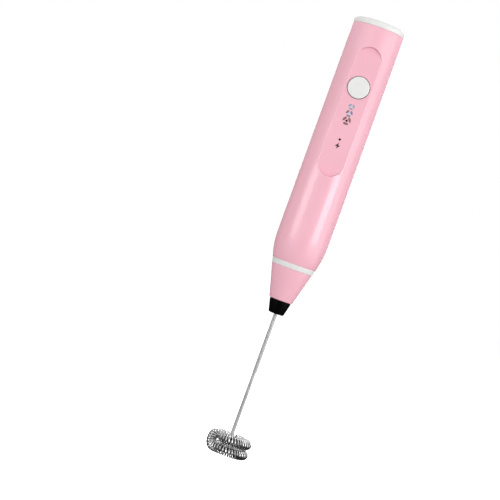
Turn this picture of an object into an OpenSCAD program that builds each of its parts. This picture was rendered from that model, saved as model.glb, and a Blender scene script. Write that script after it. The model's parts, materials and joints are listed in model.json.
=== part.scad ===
// Rechargeable hand-held milk frother: a round handle with a nose cone, and a pull-off frothing head
// whose wire coil spins on the drive axis. Z runs along the drive axis, with the charging end up and the
// coil down. The origin is on that axis, halfway along the straight barrel. The button faces -Y.

/* [Handle] */
// Outside diameter of the straight barrel
barrel_d = 30; // [29:0.5:32]
// Length of the straight barrel
barrel_l = 124; // [120:1:130]
// Wall of the moulded shells
wall = 1.8; // [1.6:0.1:2]
// Length of the shoulder between the barrel and the trim ring
shoulder_l = 14.5; // [14:0.1:18]
// Angle that the shoulder ends at, from the drive axis
shoulder_angle = 15; // [12:1:15]
// Radius of the curve from the barrel into the shoulder
shoulder_r = 46; // [40:1:52]
// Height of the white trim ring
ring_h = 3; // [2.5:0.1:4]
// Length of the nose cone
nose_l = 18.7; // [18.6:0.1:22]
// Diameter of the nose cone's tip
nose_tip_d = 13.5; // [12.4:0.1:14]
// Height of the end cap above the barrel
cap_h = 3.7; // [3.5:0.1:5]

/* [Front panel] */
// Width of the flat oblong panel
panel_w = 13.7; // [13:0.1:14]
// Distance from the drive axis to the panel's face
panel_y = 13.1; // [13:0.05:13.2]
// Height of the panel's upper end above the origin
panel_top = 50.2; // [46:0.2:51]
// Height of the panel's lower end
panel_bottom = -24.6; // [-28:0.2:-22]
// Diameter of the push button
button_d = 12.2; // [11.5:0.1:12.3]
// Height of the button's centre
button_z = 27; // [25:0.2:28]
// Travel of the button
button_travel = 0.4; // [0.2:0.1:0.5]
// Heights of the four indicator lights, three for speed and one for charge
light_z = [15.8, 11.9, 7.7, -3.3];

/* [Frothing head] */
// Diameter of the stainless wire that makes the rod and the rings
rod_d = 2; // [1.8:0.1:2.2]
// Distance from the collar's lower face to the middle of the upper ring
reach = 74.8; // [60:0.2:90]
// Diameter of the ring that the wire is bent to, at the wire's middle
ring_d = 19.7; // [19.5:0.1:22]
// Drop from the upper ring to the lower ring
ring_drop = 6; // [5.9:0.1:6.5]
// Outside diameter of the coil that is wound round the rings
coil_d = 5.6; // [5.2:0.1:5.7]
// Diameter of the coil's wire
coil_wire_d = 0.65; // [0.5:0.05:0.65]
// Angle round the ring that one turn of the coil takes
coil_step = 8.4; // [8.2:0.1:9]

/* [Hidden] */
$fn = 64;

// Heights of the joints between the outer pieces
barrel_r = barrel_d / 2;
z_cap = barrel_l / 2;
z_shoulder = -barrel_l / 2;
z_ring = z_shoulder - shoulder_l;
z_nose = z_ring - ring_h;
z_tip = z_nose - nose_l;
bore_r = barrel_r - wall;
seam = 0.2; // chamfer that shows as a fine groove between two shells

// The shoulder is an arc that leaves the barrel tangentially, then a straight cone
shoulder_end_r = barrel_r - shoulder_r * (1 - cos(shoulder_angle));
shoulder_end_z = z_shoulder - shoulder_r * sin(shoulder_angle);
ring_r = shoulder_end_r - (shoulder_end_z - z_ring) * tan(shoulder_angle);
ring_low_r = ring_r - ring_h * tan(shoulder_angle);
tip_r = nose_tip_d / 2;

// Inner fits
spigot_r = 10.4;       // the nose cone's spigot, which the trim ring and the shell sit on
spigot_wall = 1.5;
spigot_l = 8;
fit = 0.1;             // radial gap of a fixed fit
flat_y = 11.5;         // inside face of the shell behind the panel
flat_top = 56.5;
flat_bottom = -32;
cap_spigot_r = 13.1;
cap_spigot_l = 5;
cap_bore_r = 11.5;
cap_plate = 2.2;
cap_round = 2;
seal_z = z_cap - 2.5;

// Board and charging socket
board_y = -5.2;        // the board's rear face
board_t = 1.2;
board_w = 16;
board_top = 61.5;
board_bottom = -14;
board_front = board_y - board_t;
screw_x = 7;
screw_z = [46, -10];
screw_r = 0.75;
screw_head_r = 1.4;
screw_head_h = 1;
chip_lows = [[-2.5, 34], [-2, 0], [-4.6, -11.6], [3.8, 38]];  // lower left corner, along X and Z
chip_sizes = [[5, 1.4, 4], [4, 1.1, 3], [3, 1, 2.8], [2.4, 1, 3]];
led_w = 1.6;
led_t = 0.8;
led_h = 1.2;
socket_size = [8.94, 7.3, 3.26];  // width, depth and height of a USB-C receptacle
socket_y = board_y + socket_size[2] / 2;
socket_mouth_z = z_cap + cap_h - 0.6;
socket_skin = 0.3;
tongue_size = [6.65, 5.2, 0.7];

// Button and switch
button_gap = 0.35;
button_face_y = 14.0;
button_skirt = 0.5;    // how far the button's flange is wider than the button
flange_y = 11.1;       // front of the flange, when the button is out
flange_t = 0.8;
plunger_r = 1.75;
plunger_in = 0.5;      // how far the plunger reaches into the switch, when it is out
switch_y = 9.2;        // front of the switch's housing
switch_w = 6;
light_r = 0.6;

// Cell, motor and drive
cell_r = 7.1;
cell_l = 50;
cell_y = 3;
cell_top = 48;
cell_bottom = cell_top - cell_l;
cell_stud_r = 2.8;     // the cell's positive end
cell_stud_h = 1.2;
tab_t = 0.2;
lead_y = -4.6;         // where the leads lie on the board's rear face
cell_lead_r = 0.45;
motor_lead_r = 0.5;
motor_r = 10.05;
motor_flat = 7.55;
motor_top = -30.5;
motor_bottom = -54;
can_t = 0.5;
boss_r = 3.05;
boss_h = 1.6;
boss_t = 0.4;
bush_h = 1;            // how far the lower bush reaches into the can
bell_t = 1.5;
bell_lip = 2;
bell_bore_r = 2.6;
magnet_bore_r = 7;
magnet_l = 17;
magnet_w = 12;
terminal_x = 5;
terminal_y = -6.4;
terminal_w = 1.6;
terminal_t = 0.5;
damper_r = 11.4;
motor_screw_x = 7;
motor_screw_r = 1;
motor_screw_head_r = 1.8;
motor_screw_head_h = 1.2;
core_r = 6.6;
core_bottom = motor_bottom + 4;
core_l = 13;
pole_gap = 1.6;        // slot between two pole shoes
winding_hole_r = 1.7;
winding_t = 1.6;
shaft_r = 1;
commutator_r = 2.3;
commutator_l = 3.2;
commutator_bottom = motor_top - 4.2;
segment_gap = 0.3;
brush_z = motor_top - 3.9;
brush_t = 0.2;
brush_h = 1.4;
shaft_top = -28.2;
shaft_bottom = -64;
spindle_r = 2;
spindle_top = -57.5;
sleeve_r = 3.2;
sleeve_bottom = -68;
hex_af = 3.5;          // across the flats of the spindle's hexagon
socket_r = 4.7;        // bore in the nose that takes a head's stem
socket_tube_r = 6.2;
web_t = 1.7;
web_bottom = z_nose - 0.8;
hex_top = web_bottom - 0.3; // the hexagon starts just below the bush
hex_bottom = -96.5;
bush_r = 2.9;

// Frothing head
head_gap = 0.2;
head_h = 7.8;
head_top_r = 6.3;
head_low_r = 4.35;
stem_r = 4.4;
stem_l = 17.2;
z_head = z_tip - head_gap;
z_head_low = z_head - head_h;
rod_r = rod_d / 2;
ring_rad = ring_d / 2;
z_coil = z_head_low - reach;
rod_seat = 8.5;        // how deep the rod is moulded into the collar
elbow_r = 2.5;         // bend from the rod into the spoke
heel_r = 3;            // bend from the spoke into the ring
spoke_angle = 205;     // direction of the spoke, seen from above, with +X at 0
ramp = [300, 372];     // where round the wire it drops from the upper ring to the lower
coil_span = [29, 652]; // where round the wire the coil starts and ends
wire_end = 660;

black = [0.03, 0.03, 0.03];
pink = [0.96, 0.73, 0.78];
white = [0.92, 0.92, 0.91];
steel = [0.72, 0.72, 0.73];
brass = [0.80, 0.62, 0.30];
lit = [0.55, 0.85, 1];
bare_plastic = [0.85, 0.85, 0.83];
lead_colors = ["firebrick", black];

// ---------- shared shapes ----------

// A tube swept along points: each ring of sides lies square to the path, with no twist from ring to ring
function unit(v) = v / norm(v);
function tangent(p, i) = unit(p[min(i + 1, len(p) - 1)] - p[max(i - 1, 0)]);
function square_to(v, t) = unit(v - (v * t) * t);
function frames(p, first) = [
    for (i = 0, n = square_to(first, tangent(p, 0)); i < len(p);
         i = i + 1, n = i < len(p) ? square_to(n, tangent(p, i)) : n) n
];
function ring_points(p, t, n, r, sides) = [
    for (k = [0 : sides - 1]) p + r * (cos(360 * k / sides) * n + sin(360 * k / sides) * cross(t, n))
];
function tube_faces(rings, sides) = concat(
    [[for (k = [0 : sides - 1]) k]],
    [for (i = [0 : rings - 2]) for (k = [0 : sides - 1])
        let (a = i * sides + k, b = i * sides + (k + 1) % sides)
        each [[a, a + sides, b + sides], [a, b + sides, b]]],
    [[for (k = [sides - 1 : -1 : 0]) (rings - 1) * sides + k]]
);
module tube(p, r, sides, normals) {
    polyhedron(
        points = [for (i = [0 : len(p) - 1]) each ring_points(p[i], tangent(p, i), normals[i], r, sides)],
        faces = tube_faces(len(p), sides),
        convexity = 10
    );
}
module wire(p, r, sides = 8, first = [1, 0, 0]) {
    tube(p, r, sides, frames(p, first));
}

// A ring between two heights, and a cylinder that runs along -Y from a point
module collar_ring(r_out, r_in, z_low, z_high) {
    translate([0, 0, z_low]) difference() {
        cylinder(r = r_out, h = z_high - z_low);
        translate([0, 0, -1]) cylinder(r = r_in, h = z_high - z_low + 2);
    }
}
module rod_y(r, y_back, y_front, z, x = 0) {
    translate([x, y_back, z]) rotate([90, 0, 0]) cylinder(r = r, h = y_back - y_front);
}
module block(low, high) {
    translate(low) cube(high - low);
}
// A block that is centred on x, w wide, between two depths and two heights
module bar(x, w, y_low, y_high, z_low, z_high) {
    block([x - w / 2, y_low, z_low], [x + w / 2, y_high, z_high]);
}
// A flat slot with round ends, w wide along X and t thick along Y, from z_low up
module slot(w, t, y, z_low, h) {
    for (x = [-1, 1]) translate([x * (w - t) / 2, y, z_low]) cylinder(d = t, h = h);
    translate([-(w - t) / 2, y - t / 2, z_low]) cube([w - t, t, h]);
}

// ---------- outer pieces ----------

// Points of an arc in the profile plane, round a centre, from one angle to another
function arc(c, r, a0, a1, n) = [for (i = [0 : n]) let (a = a0 + (a1 - a0) * i / n) c + r * [cos(a), sin(a)]];

module shell_profile() {
    polygon(concat(
        [[bore_r, z_cap], [barrel_r - seam, z_cap], [barrel_r, z_cap - seam]],
        arc([barrel_r - shoulder_r, z_shoulder], shoulder_r, 0, -shoulder_angle, 14),
        [[ring_r + seam * tan(shoulder_angle), z_ring + seam], [ring_r - seam, z_ring]],
        [[spigot_r + fit, z_ring], [spigot_r + fit, z_ring + spigot_l - ring_h + 0.6]],
        arc([barrel_r - shoulder_r, z_shoulder], shoulder_r - wall, -6, 0, 6)
    ));
}

// The panel is a flat floor, with walls that lean outwards a little
module panel_pocket() {
    lean = 0.5;
    depth = 2.4;
    half = panel_w / 2;
    for (z = [panel_top - half, panel_bottom + half])
        translate([0, -panel_y, z]) rotate([90, 0, 0]) cylinder(r1 = half, r2 = half + lean, h = depth);
    translate([0, 0, panel_bottom + half]) linear_extrude(panel_top - panel_bottom - panel_w)
        polygon([[-half, -panel_y], [half, -panel_y],
                 [half + lean, -panel_y - depth], [-half - lean, -panel_y - depth]]);
}

module handle_shell() {
    color(pink) difference() {
        union() {
            rotate_extrude($fn = 128) shell_profile();
            intersection() {
                translate([0, 0, flat_bottom])
                    cylinder(r = bore_r + 0.6, h = flat_top - flat_bottom, $fn = 128);
                block([-barrel_r, -barrel_r, flat_bottom], [barrel_r, -flat_y, flat_top]);
            }
        }
        panel_pocket();
        rod_y(button_d / 2 + button_gap, -flat_y + 2, -barrel_r - 1, button_z);
        for (z = light_z) rod_y(light_r + 0.05, -flat_y + 2, -barrel_r - 1, z);
    }
}

module end_cap() {
    top = z_cap + cap_h;
    color(white) difference() {
        union() {
            rotate_extrude($fn = 128) polygon(concat(
                [[0, z_cap + cap_h - cap_plate], [cap_bore_r, z_cap + cap_h - cap_plate],
                 [cap_bore_r, z_cap], [barrel_r - seam, z_cap], [barrel_r, z_cap + seam]],
                arc([barrel_r - cap_round, top - cap_round], cap_round, 0, 90, 10),
                [[0, top]]
            ));
            collar_ring(cap_spigot_r, cap_bore_r, z_cap - cap_spigot_l, z_cap + 0.01);
        }
        slot(socket_size[0] + 0.4, socket_size[2] + 0.4, socket_y, z_cap - 1, cap_h + 2);
        collar_ring(cap_spigot_r + 1, cap_spigot_r - 0.8, seal_z - 0.5, seal_z + 0.5);
    }
}

module cap_seal() {
    color(black) translate([0, 0, seal_z]) rotate_extrude() translate([12.75, 0]) circle(r = 0.43, $fn = 24);
}

module trim_ring() {
    slope = tan(shoulder_angle);
    color(white) rotate_extrude($fn = 128) polygon([
        [spigot_r + fit, z_nose], [ring_low_r - seam, z_nose], [ring_low_r + seam * slope, z_nose + seam],
        [ring_r - seam * slope, z_ring - seam], [ring_r - seam, z_ring], [spigot_r + fit, z_ring]
    ]);
}

// An outer cone and an inner tube, joined at the tip, as a moulding is cored out from behind
module nose_cone() {
    slope = (ring_low_r - tip_r) / nose_l;
    web_top = web_bottom + web_t;
    round = 0.5;
    color(pink) rotate_extrude($fn = 128) polygon(concat(
        [[socket_r, z_tip]],
        arc([tip_r - round, z_tip + round], round, -90, 0, 5),
        [[ring_low_r - seam * slope, z_nose - seam], [ring_low_r - seam, z_nose]],
        [[spigot_r, z_nose], [spigot_r, z_nose + spigot_l], [spigot_r - spigot_wall, z_nose + spigot_l]],
        [[spigot_r - spigot_wall, z_nose - 0.4], [socket_tube_r + 0.4, z_tip + 7.6]],
        [[socket_tube_r, z_tip + 7.6], [socket_tube_r, web_top], [bush_r, web_top]],
        [[bush_r, web_bottom], [socket_r, web_bottom]]
    ));
}

module nose_bush() {
    color(brass) collar_ring(bush_r - 0.02, spindle_r + 0.04, web_bottom, web_bottom + web_t);
}

module shaft_seal() {
    low = web_bottom + web_t;
    color(black) rotate_extrude() polygon([
        [spindle_r + 0.06, low + 0.7], [spindle_r + 0.06, low + 1], [2.7, low + 1.2], [3.4, low + 2.2],
        [5.6, low + 2.2], [5.6, low], [3.0, low]
    ]);
}

// ---------- inside the handle ----------

frame_r = 12.9;
frame_t = 1.4;
frame_top = 54;
frame_low = motor_bottom - boss_h;
bulkhead_t = 1.6;
ledge_x = 8;
ledge_w = 2.8;

// A tray behind the battery with bulkheads across it, and two ledges that the board lies on
module frame_body() {
    intersection() {
        collar_ring(frame_r, frame_r - frame_t, frame_low, frame_top);
        block([-frame_r, 2, frame_low], [frame_r, frame_r, frame_top]);
    }
    intersection() {
        translate([0, 0, frame_low]) cylinder(r = frame_r, h = frame_top - frame_low);
        union() {
            for (z = [49.4, 23, -5]) bar(0, 2 * frame_r, board_y + 0.05, frame_r, z, z + bulkhead_t);
            for (z = [-27.8, frame_low]) bar(0, 2 * frame_r, -9, frame_r, z, z + bulkhead_t);
        }
    }
    for (x = [-ledge_x, ledge_x]) bar(x, ledge_w, board_y + 0.05, -3.6, -13, 51);
}
module inner_frame() {
    color(bare_plastic) difference() {
        frame_body();
        translate([0, cell_y, cell_bottom - tab_t]) cylinder(r = cell_r + fit, h = cell_l + 2 * tab_t);
        // Ways for the lead from the cell and for the leads to the motor
        bar(0, 6, -6, -1, -9, -2);
        bar(0, 15, -9.5, -6, -30, -25);
        translate([0, 0, frame_low - 1]) cylinder(r = boss_r + fit, h = 4);
        for (x = [-motor_screw_x, motor_screw_x])
            translate([x, 0, frame_low - 1]) cylinder(r = motor_screw_r + fit, h = 4);
        for (x = [-screw_x, screw_x]) for (z = screw_z) rod_y(screw_r + 0.05, -3, -6, z, x);
    }
}

module battery_cell() {
    color([0.20, 0.42, 0.72]) translate([0, cell_y, 0]) {
        translate([0, 0, cell_bottom]) cylinder(r = cell_r, h = cell_l - cell_stud_h);
        translate([0, 0, cell_top - cell_stud_h]) cylinder(r = cell_stud_r, h = cell_stud_h);
    }
}

module battery_tabs() {
    color(steel) for (z = [cell_top, cell_bottom - tab_t]) bar(0, 4, cell_y - 6, cell_y + 2, z, z + tab_t);
}

// Leads from the cell's tabs to the board, and from the board to the motor
module battery_leads() {
    color(lead_colors[0]) wire([
        [0, -2, cell_top + 0.8], [0, -3.2, cell_top + 0.8], [0, -4.2, cell_top + 0.6],
        [0, lead_y, cell_top - 0.4], [0, lead_y, cell_top - 2]
    ], cell_lead_r);
    color(lead_colors[1]) wire([
        [0, -2, cell_bottom - 0.8], [0, -3.2, cell_bottom - 0.8], [0, -4.2, cell_bottom - 1.2],
        [0, lead_y, cell_bottom - 2.4], [0, lead_y, cell_bottom - 4.5]
    ], cell_lead_r);
}
module motor_leads() {
    for (i = [0, 1]) let (x = [-1, 1][i]) color(lead_colors[i]) wire([
        [x * 3, lead_y, -11], [x * 3, lead_y, -15], [x * 3.6, -5.2, -19],
        [x * 4.6, -6.6, -23], [x * terminal_x, -7.2, -26.5], [x * terminal_x, -7, -28.6]
    ], motor_lead_r);
}

module circuit_board() {
    color([0.06, 0.30, 0.18]) difference() {
        bar(0, board_w, board_front, board_y, board_bottom, board_top);
        for (x = [-screw_x, screw_x]) for (z = screw_z)
            rod_y(screw_r + 0.15, board_y + 1, board_front - 1, z, x);
    }
}
module board_screws() {
    slot_w = 0.4;
    slot_depth = 0.4;
    face = board_front - screw_head_h;
    color(steel) for (x = [-screw_x, screw_x]) for (z = screw_z) {
        rod_y(screw_r, -3.2, board_front, z, x);
        difference() {
            rod_y(screw_head_r, board_front, face, z, x);
            bar(x, 4, face - 1, face + slot_depth, z - slot_w / 2, z + slot_w / 2);
        }
    }
}
module control_chips() {
    color([0.12, 0.12, 0.13]) for (i = [0 : len(chip_lows) - 1]) {
        size = chip_sizes[i];
        translate([chip_lows[i][0], board_front - size[1], chip_lows[i][1]]) cube(size);
    }
}
module indicator_leds() {
    color([0.93, 0.93, 0.88])
        for (z = light_z) bar(0, led_w, board_front - led_t, board_front, z - led_h / 2, z + led_h / 2);
}
// One light guide, from just above its diode to the panel's face, with a shoulder behind the shell
module light_guide(i, tint) {
    back = board_front - led_t - 0.1;
    color(tint) {
        rod_y(light_r, back, -panel_y, light_z[i]);
        rod_y(light_r + 0.5, back, -flat_y + 0.02, light_z[i]);
    }
}
module speed_light_1() { light_guide(0, lit); }
module speed_light_2() { light_guide(1, lit); }
module speed_light_3() { light_guide(2, black); }
module charge_light() { light_guide(3, black); }

module switch_body() {
    half = switch_w / 2;
    color([0.15, 0.15, 0.16]) difference() {
        bar(0, switch_w, -switch_y, board_front, button_z - half, button_z + half);
        rod_y(plunger_r + 0.05, -switch_y + plunger_in + button_travel + 0.3, -switch_y - 1, button_z);
    }
}

module charge_socket() {
    low = socket_mouth_z - socket_size[1];
    skins = 2 * socket_skin;
    color(steel) difference() {
        slot(socket_size[0], socket_size[2], socket_y, low, socket_size[1]);
        slot(socket_size[0] - skins, socket_size[2] - skins, socket_y, low + socket_skin, socket_size[1]);
    }
}
module socket_tongue() {
    low = socket_mouth_z - socket_size[1] + socket_skin;
    base = 1;
    top = low + base + tongue_size[1];
    room = 2 * socket_skin + 0.1;
    half_t = tongue_size[2] / 2;
    color(black) {
        bar(0, tongue_size[0], socket_y - half_t, socket_y + half_t, low + base - 0.01, top);
        slot(socket_size[0] - room, socket_size[2] - room, socket_y, low, base);
    }
}

// ---------- motor ----------

// The outline of a small flat-sided motor
module motor_outline(grow) {
    intersection() {
        circle(r = motor_r + grow, $fn = 96);
        square([2 * motor_r + 4, 2 * (motor_flat + grow)], center = true);
    }
}
module motor_can() {
    color(steel) {
        difference() {
            translate([0, 0, motor_bottom]) linear_extrude(motor_top - motor_bottom) motor_outline(0);
            translate([0, 0, motor_bottom + can_t]) linear_extrude(motor_top - motor_bottom)
                motor_outline(-can_t);
            translate([0, 0, motor_bottom - 1]) cylinder(r = boss_r - boss_t, h = 3);
        }
        collar_ring(boss_r, boss_r - boss_t, motor_bottom - boss_h, motor_bottom + 0.01);
    }
}
module motor_end_bell() {
    lip_wall = 0.5;
    color([0.93, 0.93, 0.9]) difference() {
        translate([0, 0, motor_top]) {
            linear_extrude(bell_t) motor_outline(0);
            translate([0, 0, -bell_lip]) linear_extrude(bell_lip + 0.01) motor_outline(-can_t - 0.05);
        }
        translate([0, 0, motor_top - 3]) cylinder(r = bell_bore_r, h = 6);
        for (x = [-terminal_x, terminal_x])
            bar(x, terminal_w + 0.2, terminal_y - 0.6, terminal_y + 0.2, motor_top - 3, motor_top + 3);
        translate([0, 0, motor_top - bell_lip - 0.1]) linear_extrude(1.6)
            motor_outline(-can_t - 2 * lip_wall);
    }
}
module motor_magnets() {
    low = motor_bottom + 2;
    color([0.20, 0.20, 0.21]) for (side = [0, 180]) rotate(side) intersection() {
        difference() {
            translate([0, 0, low]) linear_extrude(magnet_l) motor_outline(-can_t - 0.05);
            translate([0, 0, low - 1]) cylinder(r = magnet_bore_r, h = magnet_l + 2);
        }
        block([4, -magnet_w / 2, low], [motor_r, magnet_w / 2, low + magnet_l]);
    }
}
module motor_bushes() {
    color(brass) {
        collar_ring(boss_r - boss_t - 0.02, shaft_r + 0.03, motor_bottom - boss_h, motor_bottom + bush_h);
        collar_ring(bell_bore_r - 0.02, shaft_r + 0.03, motor_top - 0.4, motor_top + bell_t - 0.1);
    }
}
module motor_terminals() {
    color(brass) for (x = [-terminal_x, terminal_x])
        bar(x, terminal_w, terminal_y - terminal_t, terminal_y, brush_z, motor_top + 1.8);
}
// Two leaf springs that reach from the terminals to the sides of the commutator
module motor_brushes() {
    inner = commutator_r + 0.08;
    outer = terminal_x + terminal_w / 2;
    color([0.78, 0.48, 0.28]) for (side = [0, 1]) mirror([side, 0, 0]) {
        block([inner, terminal_y, brush_z], [outer, terminal_y + brush_t, brush_z + brush_h]);
        block([inner, terminal_y, brush_z], [inner + brush_t, 1.2, brush_z + brush_h]);
    }
}
module motor_damper() {
    color(black) translate([0, 0, motor_bottom + 3]) linear_extrude(17) difference() {
        circle(r = damper_r, $fn = 96);
        motor_outline(0.05);
    }
}
module motor_screws() {
    head = motor_screw_head_h;
    color(steel) for (x = [-motor_screw_x, motor_screw_x]) translate([x, 0, frame_low]) {
        cylinder(r = motor_screw_r, h = boss_h);
        difference() {
            translate([0, 0, -head]) cylinder(r = motor_screw_head_r, h = head);
            bar(0, 4, -0.25, 0.25, -head - 1, -head + 0.5);
        }
    }
}

// ---------- button ----------

module button_cap() {
    r = button_d / 2;
    round = 0.6;
    color(white) {
        translate([0, 0, button_z]) rotate([90, 0, 0]) rotate_extrude($fn = 96) polygon(concat(
            [[0, flange_y - flange_t + 0.2], [plunger_r + 0.6, flange_y - flange_t + 0.2],
             [plunger_r + 0.6, flange_y - flange_t], [r + button_skirt, flange_y - flange_t],
             [r + button_skirt, flange_y], [r, flange_y]],
            arc([r - round, button_face_y - round], round, 0, 90, 6),
            [[0, button_face_y]]
        ));
    }
}
module switch_plunger() {
    color(black) rod_y(plunger_r, -switch_y + plunger_in, -(flange_y - flange_t + 0.2), button_z);
}

// ---------- what spins with the motor ----------

module motor_shaft() {
    color(steel) translate([0, 0, shaft_bottom]) cylinder(r = shaft_r, h = shaft_top - shaft_bottom);
}
module armature_core() {
    color(steel) translate([0, 0, core_bottom]) difference() {
        cylinder(r = core_r, h = core_l);
        translate([0, 0, -1]) cylinder(r = shaft_r, h = core_l + 2);
        for (a = [60, 180, 300]) rotate(a) {
            block([3.9, -pole_gap / 2, -1], [core_r + 1, pole_gap / 2, core_l + 1]);
            translate([4.1, 0, -1]) cylinder(r = winding_hole_r, h = core_l + 2);
        }
    }
}
module armature_windings() {
    color([0.72, 0.36, 0.16]) for (a = [0, 120, 240]) rotate(a)
        for (z = [core_bottom - winding_t, core_bottom + core_l])
            block([2.2, -2, z], [5.6, 2, z + winding_t]);
}
module commutator() {
    color(brass) difference() {
        collar_ring(commutator_r, shaft_r, commutator_bottom, commutator_bottom + commutator_l);
        for (a = [0, 120, 240]) rotate(a)
            block([1.6, -segment_gap / 2, motor_top - 5], [3, segment_gap / 2, motor_top]);
    }
}
module drive_spindle() {
    color(brass) difference() {
        union() {
            translate([0, 0, sleeve_bottom]) cylinder(r = sleeve_r, h = spindle_top - sleeve_bottom);
            translate([0, 0, hex_top]) cylinder(r = spindle_r, h = sleeve_bottom - hex_top + 0.01);
            translate([0, 0, hex_bottom])
                cylinder(r = hex_af / sqrt(3), h = hex_top - hex_bottom + 0.01, $fn = 6);
        }
        translate([0, 0, shaft_bottom]) cylinder(r = shaft_r, h = spindle_top - shaft_bottom + 1);
    }
}

// ---------- frothing head ----------

module whisk_collar() {
    round = 0.9;
    color(black) difference() {
        rotate_extrude($fn = 96) polygon(concat(
            [[0, z_head_low]],
            arc([head_low_r - round + 0.15, z_head_low + round], round, -90, -15, 6),
            [[head_top_r, z_head - 0.35], [head_top_r - 0.3, z_head], [stem_r, z_head]],
            [[stem_r, z_head + stem_l - 0.5], [stem_r - 0.5, z_head + stem_l], [0, z_head + stem_l]]
        ));
        translate([0, 0, hex_bottom - 0.6])
            cylinder(r = (hex_af + 0.1) / sqrt(3), h = 20, $fn = 6);
        translate([0, 0, z_head_low - 1]) cylinder(r = rod_r, h = rod_seat + 1.5);
    }
}

// Place on the ring at an angle along the wire, counted from the spoke and turning towards -Y then +X
function drop(a) =
    let (s = max(0, min(1, (a - ramp[0]) / (ramp[1] - ramp[0])))) ring_drop * s * s * (3 - 2 * s);
function outward(a) = [cos(spoke_angle + a), sin(spoke_angle + a), 0];
function on_ring(a) = ring_rad * outward(a) + [0, 0, z_coil - drop(a)];

// The heel bend touches the spoke's line and the inside of the ring's circle
heel_run = sqrt(pow(ring_rad - heel_r, 2) - pow(heel_r, 2));
heel_angle = atan(heel_r / heel_run);
spoke = outward(0);
aside = outward(90);
heel_centre = heel_run * spoke + heel_r * aside + [0, 0, z_coil];

wire_path = concat(
    [[0, 0, z_head_low + rod_seat], [0, 0, z_coil + elbow_r]],
    [for (a = [15 : 15 : 90]) spoke * elbow_r * (1 - cos(a)) + [0, 0, z_coil + elbow_r * (1 - sin(a))]],
    [heel_run * spoke + [0, 0, z_coil]],
    [for (i = [1 : 8]) let (a = (90 + heel_angle) * i / 8)
        heel_centre + heel_r * (sin(a) * spoke - cos(a) * aside)],
    [for (a = [heel_angle + 8 : 8 : wire_end]) on_ring(a)]
);
module whisk_wire() {
    color(steel) wire(wire_path, rod_r, 10);
}

// The coil winds round the ring wire, and its first and last turns close down onto that wire
coil_r = (coil_d - coil_wire_d) / 2;
grip_r = rod_r + coil_wire_d / 2 + 0.04;
points_per_turn = 8;
function coil_radius(a) = let (s = min(1, min(a - coil_span[0], coil_span[1] - a) / (2.5 * coil_step)))
    grip_r + (coil_r - grip_r) * s * s * (3 - 2 * s);
function coil_away(a) = let (
        t = unit(on_ring(a + 0.5) - on_ring(a - 0.5)),
        side = square_to(outward(a), t),
        turn = 360 * (a - coil_span[0]) / coil_step
    ) cos(turn) * side + sin(turn) * cross(t, side);
coil_angles = [for (a = [coil_span[0] : coil_step / points_per_turn : coil_span[1]]) a];
module whisk_coil() {
    p = [for (a = coil_angles) on_ring(a) + coil_radius(a) * coil_away(a)];
    n = [for (i = [0 : len(p) - 1]) square_to(coil_away(coil_angles[i]), tangent(p, i))];
    color(steel) tube(p, coil_wire_d / 2, 5, n);
}

// ---------- nodes ----------

handle_shell();
end_cap();
cap_seal();
trim_ring();
nose_cone();
nose_bush();
shaft_seal();
inner_frame();
battery_cell();
battery_tabs();
battery_leads();
motor_leads();
circuit_board();
board_screws();
control_chips();
indicator_leds();
speed_light_1();
speed_light_2();
speed_light_3();
charge_light();
switch_body();
charge_socket();
socket_tongue();
motor_can();
motor_end_bell();
motor_magnets();
motor_bushes();
motor_terminals();
motor_brushes();
motor_damper();
motor_screws();
button_cap();
switch_plunger();
motor_shaft();
armature_core();
armature_windings();
commutator();
drive_spindle();
whisk_collar();
whisk_wire();
whisk_coil();
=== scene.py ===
# %% [markdown]
# # A cordless milk frother
#
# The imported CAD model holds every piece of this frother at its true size, and it is loaded first, as a
# fixed frame. The pieces that show are then made again as finer surfaces: the pink shell with its pressed-in
# panel, the white cap, ring and button, the nose cone, the black collar, the rod and the whisk's wire coil.
# The pieces inside the handle keep their CAD shape and only get a finish. Lengths are in millimetres in the
# functions below, and one helper turns them into metres when it makes the mesh.

# %% Load the frame
import json
import math

import bmesh
import bpy
import numpy as np
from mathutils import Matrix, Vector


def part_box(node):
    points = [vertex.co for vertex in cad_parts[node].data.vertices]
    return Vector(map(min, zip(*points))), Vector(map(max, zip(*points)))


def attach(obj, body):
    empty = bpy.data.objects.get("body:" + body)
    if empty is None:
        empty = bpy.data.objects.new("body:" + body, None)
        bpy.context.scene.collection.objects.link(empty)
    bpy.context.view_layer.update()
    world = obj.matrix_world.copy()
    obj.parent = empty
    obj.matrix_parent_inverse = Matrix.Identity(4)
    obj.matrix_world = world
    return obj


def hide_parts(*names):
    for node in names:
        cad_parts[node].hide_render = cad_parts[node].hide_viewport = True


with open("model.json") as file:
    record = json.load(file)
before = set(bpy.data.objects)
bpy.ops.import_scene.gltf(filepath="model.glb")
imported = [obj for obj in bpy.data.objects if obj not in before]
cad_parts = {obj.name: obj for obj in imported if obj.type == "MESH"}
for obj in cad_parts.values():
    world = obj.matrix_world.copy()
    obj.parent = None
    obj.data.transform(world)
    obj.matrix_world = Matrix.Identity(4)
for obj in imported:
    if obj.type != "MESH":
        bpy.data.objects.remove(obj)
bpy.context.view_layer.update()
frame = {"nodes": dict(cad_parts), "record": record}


# %% Read lengths from the frame
def span(node):
    """Lowest and highest corner of a CAD node in millimetres, as two arrays of three numbers."""
    low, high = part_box(node)
    return np.array(low) * 1000, np.array(high) * 1000


def middle(node):
    """The middle of a CAD node's box in millimetres."""
    low, high = span(node)
    return (low + high) / 2


shell_low, shell_high = span("handle_shell")
cap_low, cap_high = span("end_cap")
ring_low, ring_high = span("trim_ring")
nose_low, nose_high = span("nose_cone")
collar_low, collar_high = span("whisk_collar")
whole_length = cap_high[2] - span("whisk_coil")[0][2]
print("barrel diameter", round(shell_high[0] - shell_low[0], 2), "whole length", round(whole_length, 1))

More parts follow.
